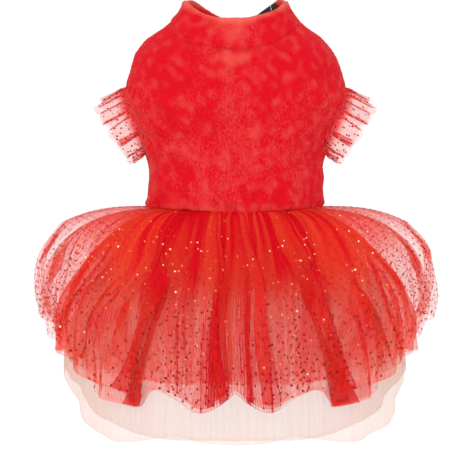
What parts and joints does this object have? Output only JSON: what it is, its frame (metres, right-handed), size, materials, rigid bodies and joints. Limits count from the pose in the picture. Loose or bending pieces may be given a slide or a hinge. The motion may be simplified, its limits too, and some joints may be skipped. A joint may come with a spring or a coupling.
{
  "type": "dog dress",
  "caption": "Sleeveless pet dress with a stand-collar plush bodice, flared net cap ruffles at the leg holes and a gathered net skirt over a longer sheer underskirt.",
  "frame": {"origin": "middle of the neck seam's ring, where the dress sits round the wearer's neck", "axes": "+Z out of the collar (towards the wearer's head), -Y out of the seen side (the wearer's back), +X to the right of someone who looks at that side"},
  "size_m": [0.348, 0.2013, 0.3852],
  "materials": {
    "plush": "short soft velvet pile, red",
    "spotted_net": "sheer red net with small raised glitter spots",
    "sheer_net": "very sheer plain pale net",
    "label": "plain black woven tape with one pale stitch line"
  },
  "bodies": {
    "root": {"bodice": "plush", "collar": "plush", "neck_label": "label", "sleeve_ruffle_left": "spotted_net", "sleeve_ruffle_right": "spotted_net", "skirt_outer_net": "spotted_net", "skirt_middle_net": "spotted_net", "skirt_inner_net": "spotted_net", "underskirt": "sheer_net"}
  },
  "joints": []
}
